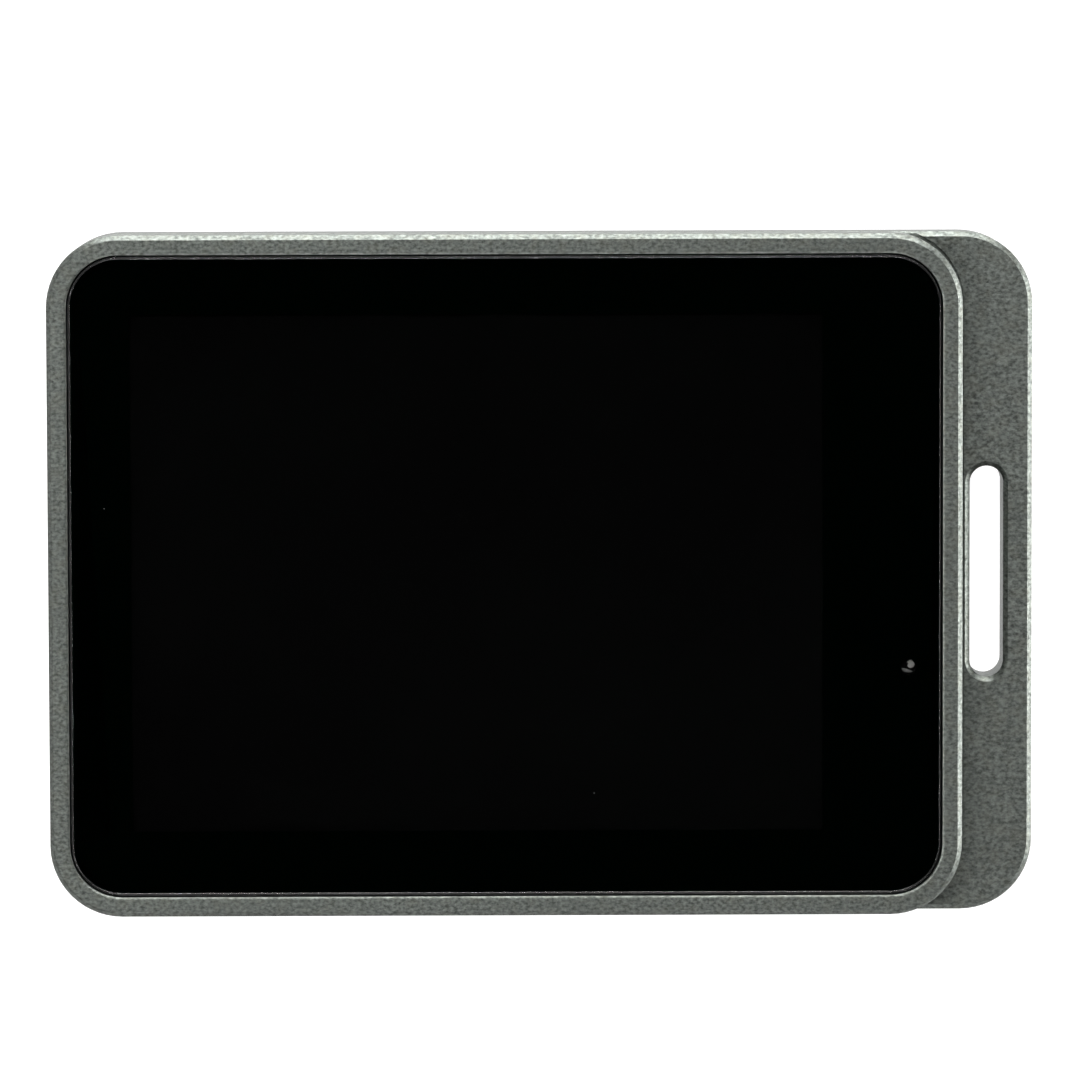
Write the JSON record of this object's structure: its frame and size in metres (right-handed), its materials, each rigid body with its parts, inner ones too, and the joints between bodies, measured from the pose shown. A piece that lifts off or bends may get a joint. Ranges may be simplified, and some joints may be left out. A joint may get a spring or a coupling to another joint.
{
  "type": "personal digital assistant",
  "caption": "Card-size pocket organiser: black touch glass in a two-part grey metal case, with a strap slot at one end, side keys and a charging port.",
  "frame": {"origin": "middle of the flat back face, which is the bottom face of the whole object's box", "axes": "+X along the length towards the strap slot, +Y across the width away from the side keys, +Z out of the screen"},
  "size_m": [0.082, 0.0568, 0.0084],
  "materials": {
    "rear_metal": "bead-blasted, anodised grey",
    "front_metal": "bead-blasted, anodised grey",
    "key_metal": "bead-blasted, anodised grey",
    "screw_steel": "dark machined",
    "board_screw_steel": "zinc plated",
    "cover_glass": "polished",
    "black_ink": "printed, opaque",
    "black_adhesive": "foam tape",
    "touch_film": "clear film",
    "ribbon": "polyimide, amber",
    "lcd_glass": "dark polariser over glass",
    "silicon": "black moulded package",
    "light_guide": "clear acrylic with white films",
    "tray_steel": "thin sheet",
    "led_white": "white light-emitting diodes on a strip",
    "sensor_lens": "clear dome on a grey package",
    "board_green": "green solder mask",
    "shield_steel": "tinned sheet",
    "components": "ceramic chips",
    "connector_plastic": "cream nylon",
    "port_steel": "nickel plated",
    "port_plastic": "black nylon",
    "contact_gold": "gold plated",
    "battery_foil": "laminated foil pouch",
    "white_tape": "double-sided tape",
    "red_lead": "silicone insulation",
    "black_lead": "silicone insulation",
    "speaker_plastic": "moulded box",
    "foam": "closed-cell foam",
    "mesh_cloth": "fine acoustic mesh",
    "microphone_can": "drawn can",
    "black_rubber": "moulded boot",
    "switch_steel": "switch case",
    "plunger_plastic": "black nylon"
  },
  "bodies": {
    "case": {"rear_shell": "rear_metal", "front_frame": "front_metal", "case_screws": "screw_steel", "cover_glass": "cover_glass", "ink_border": "black_ink", "glass_adhesive": "black_adhesive", "touch_sensor": "touch_film", "touch_flex": "ribbon", "lcd_cell": "lcd_glass", "display_driver_chip": "silicon", "backlight_guide": "light_guide", "backlight_frame": "tray_steel", "led_strip": "led_white", "display_flex": "ribbon", "light_sensor": "sensor_lens", "main_board": "board_green", "board_screws": "board_screw_steel", "processor_shield": "shield_steel", "processor_chip": "silicon", "memory_chip": "silicon", "power_chip": "silicon", "board_components": "components", "display_connector": "connector_plastic", "touch_connector": "connector_plastic", "usb_port_shell": "port_steel", "usb_port_tongue": "port_plastic", "usb_contacts": "contact_gold", "battery_cell": "battery_foil", "battery_tape": "white_tape", "battery_protection_board": "board_green", "battery_lead_positive": "red_lead", "battery_lead_negative": "black_lead", "battery_connector": "connector_plastic", "speaker": "speaker_plastic", "speaker_gasket": "foam", "speaker_mesh": "mesh_cloth", "microphone": "microphone_can", "microphone_boot": "black_rubber", "power_switch": "switch_steel", "volume_up_switch": "switch_steel", "volume_down_switch": "switch_steel"},
    "power_key": {"power_button": "key_metal", "power_switch_plunger": "plunger_plastic"},
    "volume_up_key": {"volume_up_button": "key_metal", "volume_up_switch_plunger": "plunger_plastic"},
    "volume_down_key": {"volume_down_button": "key_metal", "volume_down_switch_plunger": "plunger_plastic"}
  },
  "joints": [
    {"name": "power_press", "type": "slide", "parent": "case", "child": "power_key", "axis": [0, 1, 0], "range_m": [0, 0.00025], "stiffness_N_per_m": 4000, "springref_m": -0.0001},
    {"name": "volume_up_press", "type": "slide", "parent": "case", "child": "volume_up_key", "axis": [0, 1, 0], "range_m": [0, 0.00025], "stiffness_N_per_m": 4000, "springref_m": -0.0001},
    {"name": "volume_down_press", "type": "slide", "parent": "case", "child": "volume_down_key", "axis": [0, 1, 0], "range_m": [0, 0.00025], "stiffness_N_per_m": 4000, "springref_m": -0.0001}
  ]
}
